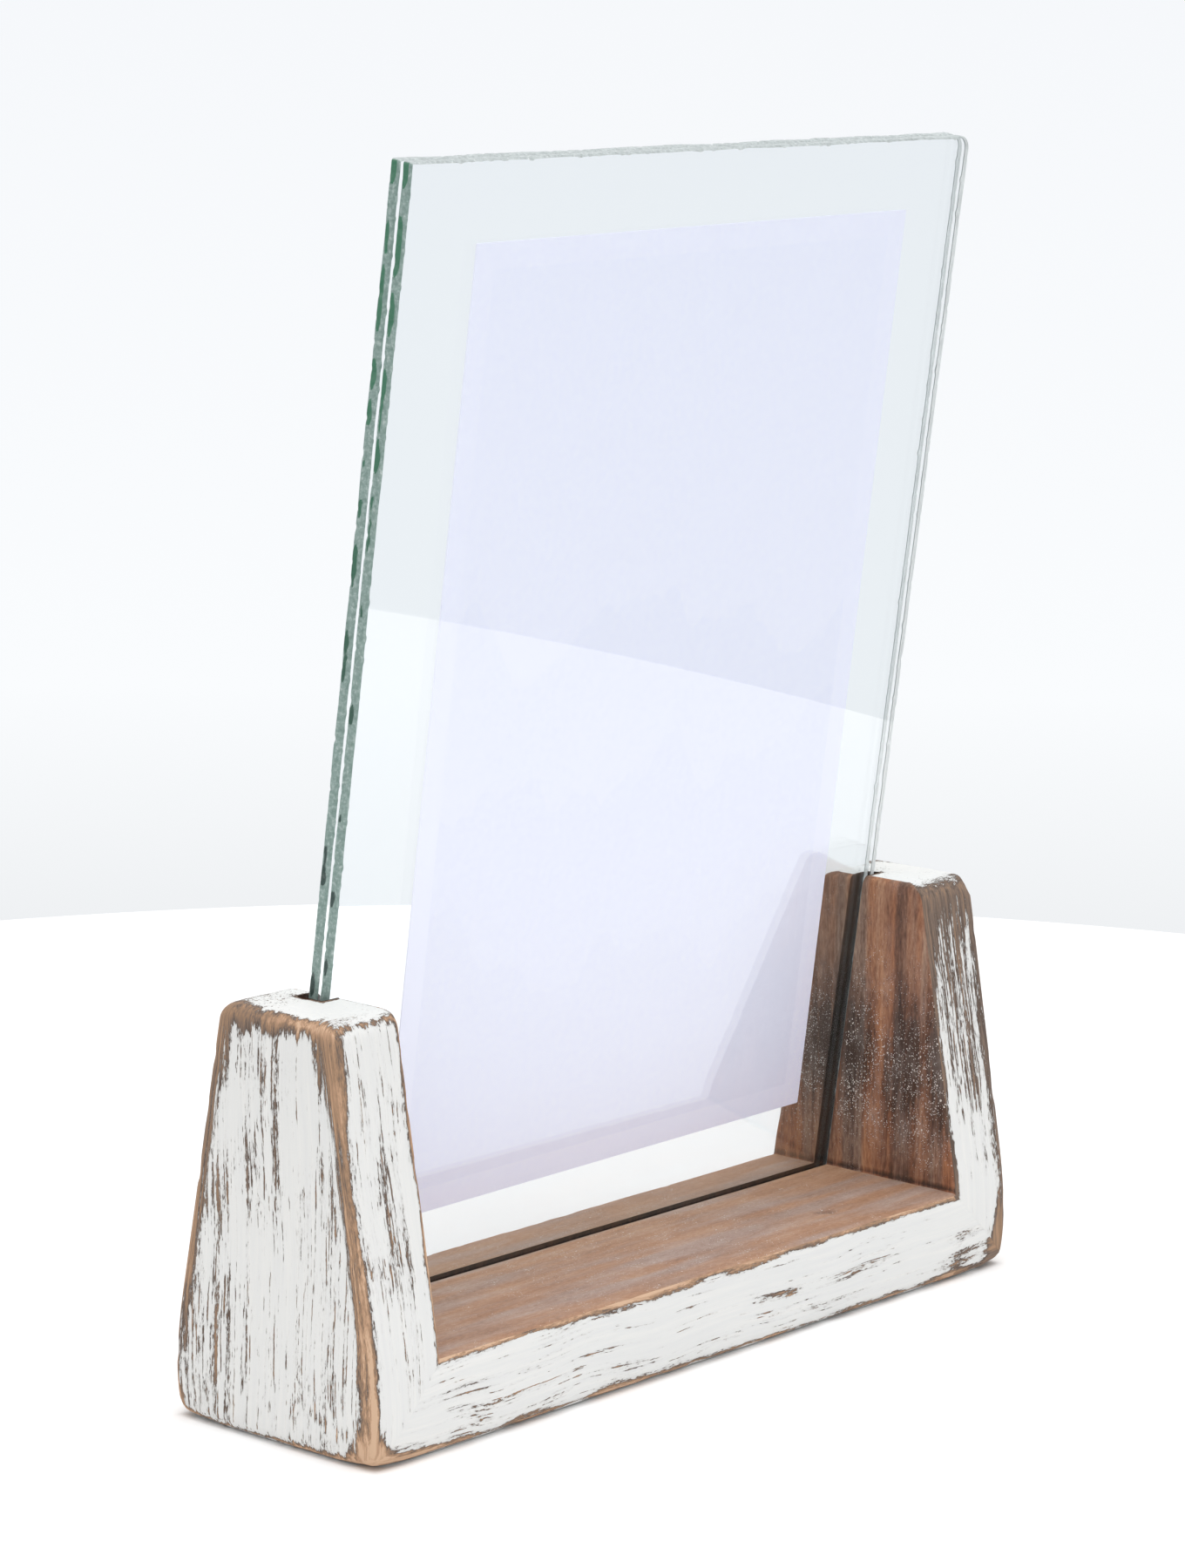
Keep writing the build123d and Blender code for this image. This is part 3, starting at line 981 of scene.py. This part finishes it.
def make_print(name, materials):
    """The print: a thin rectangle, a little turned between the panes, with a front and a back."""
    middle, axes, half_size = print_axes()
    half_thickness, half_width, half_height = half_size
    loop, normal = rounded_rectangle(half_width, -half_height, half_height, 4 * [print_corner], print_step)
    points, quads, flats = rim_plate(loop, normal, np.array([-half_thickness, half_thickness]), np.zeros(2))
    piece = new_piece(name, points @ axes + middle, quads, flats)
    dress(piece.data, materials, np.repeat([0, 1, 0], [len(quads), 1, 1]))
    piece.data.shade_flat()
    return piece


# The wooden base
up_grain = (1, 1, 40)
rail_grain = (40, 1, 1)
short_grain = (9, 1, 1)
inner_greys = [(0.05, "422E24"), (0.35, "684D3F"), (0.6, "8D705F"), (0.95, "B19681")]
inner_oranges = [(0.05, "4F3321"), (0.35, "89573B"), (0.6, "AD734F"), (0.95, "CF9A6D")]
rail_greys = [(0.05, "927566"), (0.35, "A98C7B"), (0.6, "B5998A"), (0.95, "C2AA9B")]
rail_oranges = [(0.05, "956F55"), (0.35, "AE8264"), (0.6, "BA8F71"), (0.95, "C6A287")]
# The slot's wood is far darker than the bare wood beside it: painted shade in the groove
slot_shade_greys = [(0.2, "231912"), (0.8, "4D382C")]
slot_shade_oranges = [(0.2, "2C1C13"), (0.8, "5E3C2A")]
slot_wood_with_painted_shade = bare_wood("slot_wood_painted_shade", up_grain, slot_shade_greys, slot_shade_oranges)
upright_woods = [
    painted_wood("painted_upright", up_grain, flaking=1.0),
    bare_wood("bare_upright", up_grain, inner_greys, inner_oranges),
    slot_wood_with_painted_shade,
]
rail_woods = [
    painted_wood("painted_rail", rail_grain, flaking=0.79),
    bare_wood("bare_rail", short_grain, rail_greys, rail_oranges),
    slot_wood_with_painted_shade,
]
worn_rail = make_rail("worn_rail", rail_woods)
worn_left = make_upright("worn_left_upright", side=-1, materials=upright_woods)
worn_right = make_upright("worn_right_upright", side=1, materials=upright_woods)

# The panes and the print
glass_materials = [float_glass(), cut_glass_edge()]
front_pane = make_pane("front_cut_pane", "front_glass", seed=21, materials=glass_materials)
rear_pane = make_pane("rear_cut_pane", "rear_glass", seed=31, materials=glass_materials)
# The back of the print, seen through the glass, gets a stronger painted glow than its front
paper_back = photo_paper("paper_back", ink=0.08, glow=0.24)
paper_front = photo_paper("paper_front", ink=1.0, glow=0.02)
sheet = make_print("print_sheet", [paper_back, paper_front])

# Each piece with the body it rides on, the node it replaces and its slot
pieces = (
    (worn_rail, "base", "base_rail", "painted_wood"),
    (worn_left, "base", "left_upright", "painted_wood"),
    (worn_right, "base", "right_upright", "painted_wood"),
    (front_pane, "front_pane", "front_glass", "float_glass"),
    (rear_pane, "rear_pane", "rear_glass", "float_glass"),
    (sheet, "print", "photo_print", "photo_paper"),
)
for piece, body, node_name, slot_name in pieces:
    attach(piece, body)
    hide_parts(node_name)

# The dowels inside the mitres keep their own shape
dowels = frame["nodes"]["mitre_dowels"]
dowels.data.materials.clear()
dowels.data.materials.append(beech())

# A round white table, and the grey studio floor below it that only the glass mirrors
table_radius = 332 * MM
table_drop = 0.05 * MM
studio_radius = 14.0
studio_drop = 700 * MM


def disc(name, radius, height):
    """A flat disc: a ring of points round the vertical axis at one height."""
    angle = np.linspace(0, 2 * np.pi, ring_count, endpoint=False)
    ring = np.stack([radius * np.cos(angle), radius * np.sin(angle), np.full(ring_count, height)], 1)
    piece = new_piece(name, ring, np.arange(ring_count)[None])
    return piece


def looked_at(add):
    """1 where the camera sees a backdrop, also in or through glass, and 0 where it only gives light."""
    path = add("LightPath").node.outputs
    seen = add("Math", {0: path["Is Camera Ray"], 1: path["Is Glossy Ray"]}, operation="MAXIMUM")
    return add("Math", {0: seen, 1: path["Is Transmission Ray"]}, operation="MAXIMUM")


def table_white():
    """Matt white lacquer. It gives the eye a plain white that still takes the contact shadow: the glow that
    lifts it to white fades out under the rounded foot of the base, a painted shade along the contact."""
    material, add = new_material("table_white")
    matt = add("BsdfDiffuse", {"Color": linear("F4F4F4")})
    place = add("TexCoord", out="Object")
    place = add("VectorMath", {0: place}, operation="ABSOLUTE")
    place = add("VectorMath", {0: place, 1: (outer_x, foot_half, 0)}, operation="SUBTRACT")
    part = add("SeparateXYZ", {"Vector": place}).node.outputs
    outside = add("Math", {0: part["X"], 1: part["Y"]}, operation="MAXIMUM")
    # Where the glow fades out under the foot, the floor is painted darker: a painted shade along the contact
    lift_light = add(
        "MapRange", {"Value": outside, "From Min": -2 * MM, "From Max": -0.3 * MM, "To Max": 0.22})
    lift_light = add("Math", {0: looked_at(add), 1: lift_light}, operation="MULTIPLY")
    glow = add("Emission", {"Color": linear("FFFFFF"), "Strength": lift_light})
    shader = add("AddShader", {0: matt, 1: glow})
    add("OutputMaterial", {"Surface": shader})
    return material


def studio_grey():
    """Plain grey floor in even light, far below the table."""
    material, add = new_material("studio_grey")
    glow = add("Emission", {"Color": linear("848B90"), "Strength": 1.0})
    add("OutputMaterial", {"Surface": glow})
    return material


table = disc("table", table_radius, -table_drop)
table.data.materials.append(table_white())
studio = disc("studio_floor", studio_radius, -studio_drop)
studio.data.materials.append(studio_grey())
studio.visible_camera = False
studio.visible_diffuse = False
studio.visible_transmission = False
studio.visible_shadow = False

# Even white light from all round, a little stronger from above
world = bpy.data.worlds.new("studio")
bpy.context.scene.world = world
world.use_nodes = True
world.node_tree.nodes.clear()
add = partial(node, world.node_tree)
direction = add("TexCoord", out="Generated")
height = add("SeparateXYZ", {"Vector": direction}, out="Z")
height = add("MapRange", {"Value": height, "From Min": -0.21, "From Max": -0.02})
wall = add("ValToRGB", {"Fac": height}, stops=[(0.0, "EFF1F3"), (0.25, "FAFCFE"), (1.0, "F6F8FB")])
lighting = add("Background", {"Color": linear("FFFFFF"), "Strength": 0.72})
backdrop = add("Background", {"Color": wall, "Strength": 1.0})
sky = add("MixShader", {0: looked_at(add), 1: lighting, 2: backdrop})
add("OutputWorld", {"Surface": sky})

overhead = bpy.data.objects.new("overhead", bpy.data.lights.new("overhead", "AREA"))
overhead.data.size = 1.2
overhead.data.energy = 8.8
overhead.location = (0.1, 0.2, 1.3)
overhead.rotation_euler = (-overhead.location).to_track_quat("-Z", "Y").to_euler()
bpy.context.scene.collection.objects.link(overhead)

# Camera as the photograph was taken: image height and focal length in pixels, angles, and sizes in metres
image_height = 1800
focal_pixels = 5561.2
camera_turn = math.radians(131.025)
camera_rise = math.radians(10.474)
camera_roll = math.radians(0.801)
camera_distance = 766.54 * MM
aim_right = -3.272 * MM
aim_up = 87.046 * MM
back = Vector((math.sin(camera_turn) * math.cos(camera_rise),
               -math.cos(camera_turn) * math.cos(camera_rise), math.sin(camera_rise)))
right = Vector((math.cos(camera_turn), math.sin(camera_turn), 0))
roll = Matrix.Rotation(camera_roll, 3, back)
right = roll @ right
up = back.cross(right)
camera = bpy.data.objects.new("camera", bpy.data.cameras.new("camera"))
camera.data.lens = focal_pixels / image_height * camera.data.sensor_width
camera.matrix_world = Matrix((right, up, back)).transposed().to_4x4()
camera.location = right * aim_right + up * aim_up + back * camera_distance
bpy.context.scene.collection.objects.link(camera)
bpy.context.scene.camera = camera
bpy.context.scene.view_settings.view_transform = "Standard"
